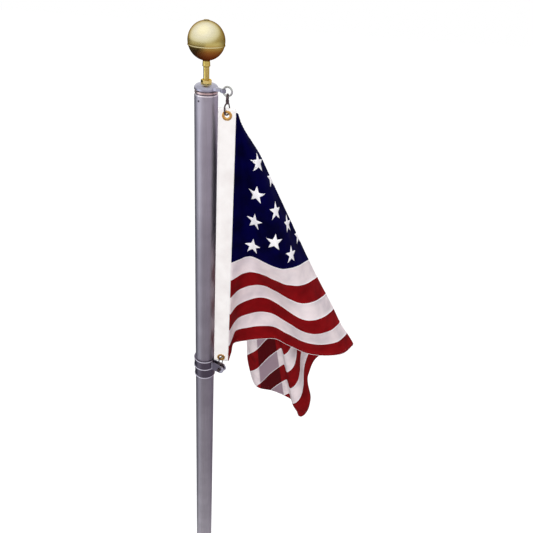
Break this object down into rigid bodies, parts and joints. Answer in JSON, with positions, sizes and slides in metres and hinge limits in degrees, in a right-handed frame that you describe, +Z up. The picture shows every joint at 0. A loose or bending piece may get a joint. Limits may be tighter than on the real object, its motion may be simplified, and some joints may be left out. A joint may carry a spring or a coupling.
{
  "type": "flagpole",
  "caption": "Grey aluminium flagpole with a gold ball finial, a revolving top and a lower swivel collar that hold a limp flag of stripes and a starred corner.",
  "frame": {"origin": "centre of the pole's foot, at ground level", "axes": "+Z up along the pole, +X towards the side the flag hangs on, -Y towards the front"},
  "size_m": [0.4184, 0.4955, 4.6983],
  "materials": {
    "anodised_tube": "satin anodised",
    "cast_fitting": "satin",
    "bright_fitting": "satin",
    "gold_ball": "satin gold anodised",
    "gold_stem": "gold",
    "galvanised_wire": "galvanised",
    "brass_grommet": "polished",
    "canvas": "woven",
    "flag_cloth": "woven"
  },
  "bodies": {
    "pole": {"pole_tube": "anodised_tube", "foot_plug": "cast_fitting", "top_plug": "cast_fitting", "bearing_ring": "cast_fitting", "finial_stem": "gold_stem", "lock_nut": "gold_stem", "ball_neck": "gold_ball", "ball_lower_half": "gold_ball", "ball_upper_half": "gold_ball", "ball_top_button": "gold_ball", "stop_ring": "cast_fitting"},
    "top_swivel": {"swivel_cap": "bright_fitting", "hanging_ring": "galvanised_wire", "top_snap_eye": "galvanised_wire", "top_snap_hook": "galvanised_wire", "top_snap_gate": "galvanised_wire", "heading": "canvas", "top_grommet": "brass_grommet", "bottom_grommet": "brass_grommet", "flag": "flag_cloth"},
    "lower_swivel": {"swivel_collar": "cast_fitting", "collar_bolt": "galvanised_wire", "collar_nut": "galvanised_wire", "lower_snap_eye": "galvanised_wire", "lower_snap_hook": "galvanised_wire", "lower_snap_gate": "galvanised_wire"}
  },
  "joints": [
    {"name": "top_turn", "type": "hinge", "parent": "pole", "child": "top_swivel", "pos_m": [0, 0, 4.572], "axis": [0, 0, 1], "continuous": true},
    {"name": "lower_turn", "type": "hinge", "parent": "pole", "child": "lower_swivel", "pos_m": [0, 0, 3.9], "axis": [0, 0, 1], "continuous": true}
  ],
  "couplings": [
    {"joint": "lower_turn", "follows": "top_turn", "ratio": 1}
  ]
}
